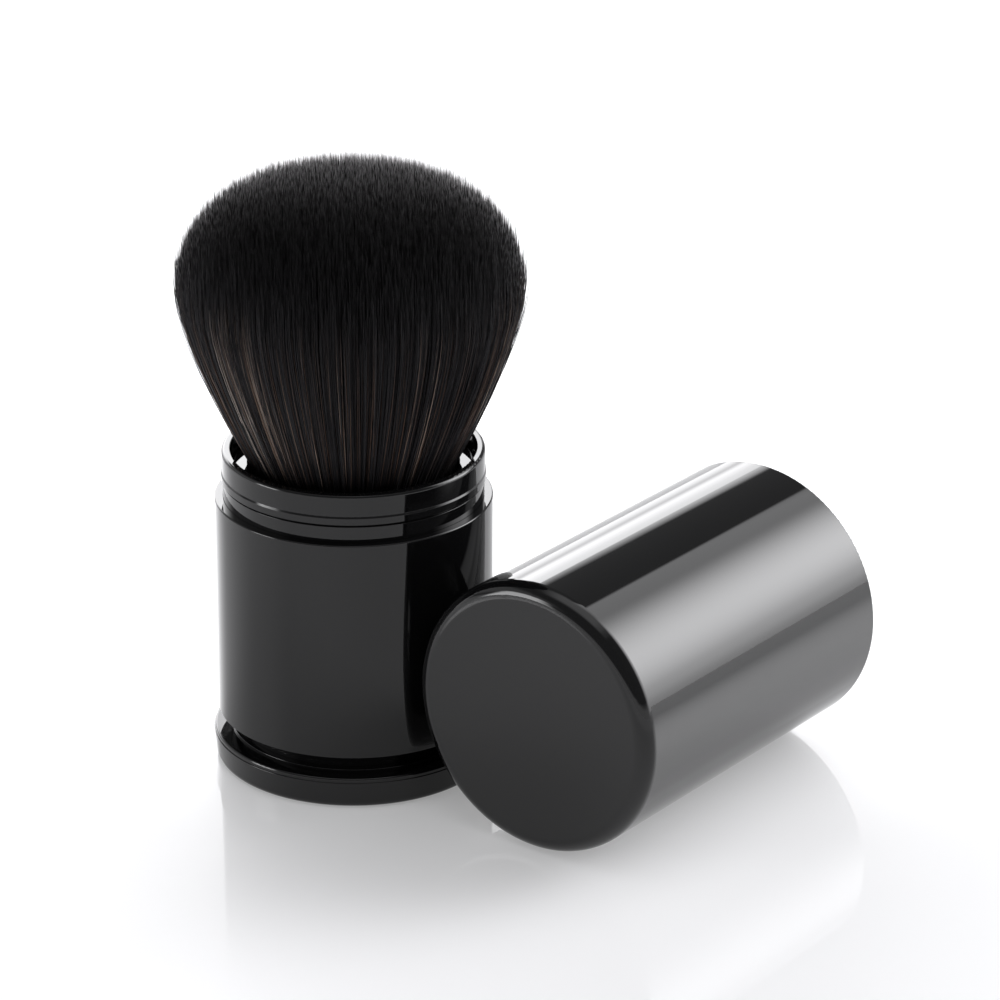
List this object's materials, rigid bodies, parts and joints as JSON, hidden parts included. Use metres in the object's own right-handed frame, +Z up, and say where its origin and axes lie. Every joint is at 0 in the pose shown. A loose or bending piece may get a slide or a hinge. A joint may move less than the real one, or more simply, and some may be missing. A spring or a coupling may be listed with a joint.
{
  "type": "retractable makeup brush",
  "caption": "Retractable powder brush with a domed head of fine dark hair, a sleeve that slides up round the hair, a round foot flange and a separate cap, in gloss black.",
  "frame": {"origin": "middle of the foot's flat underside, on the surface that the brush stands on", "axes": "+Z up along the brush's axis towards the hair; +X along the loose cap's axis towards its mouth; the cap lies on the -Y side"},
  "size_m": [0.0625, 0.076, 0.0796],
  "materials": {
    "gloss_black_plastic": "gloss",
    "satin_black_plastic": "satin",
    "black_lacquered_aluminium": "gloss",
    "zinc_plated_steel": "satin",
    "black_rubber": "matte",
    "resin": "satin",
    "dark_hair": "satin"
  },
  "bodies": {
    "base": {"base_flange": "gloss_black_plastic", "base_cover": "satin_black_plastic", "base_screw": "zinc_plated_steel", "base_weight": "zinc_plated_steel", "slider_tube": "gloss_black_plastic", "friction_ring": "black_rubber", "ferrule": "black_lacquered_aluminium", "hair_plug": "resin", "bristle_bundle": "dark_hair"},
    "sleeve": {"sleeve_shell": "black_lacquered_aluminium", "neck_tube": "gloss_black_plastic", "stop_bush": "satin_black_plastic"},
    "cap": {"cap_shell": "black_lacquered_aluminium", "cap_liner": "satin_black_plastic"}
  },
  "joints": [
    {"name": "sleeve_slide", "type": "slide", "parent": "base", "child": "sleeve", "axis": [0, 0, 1], "range_m": [0, 0.022], "deforming": ["bristle_bundle"]},
    {"name": "cap_slide", "type": "slide", "parent": "base", "child": "cap", "axis": [1, 0, 0], "range_m": [0, 0.05]}
  ]
}
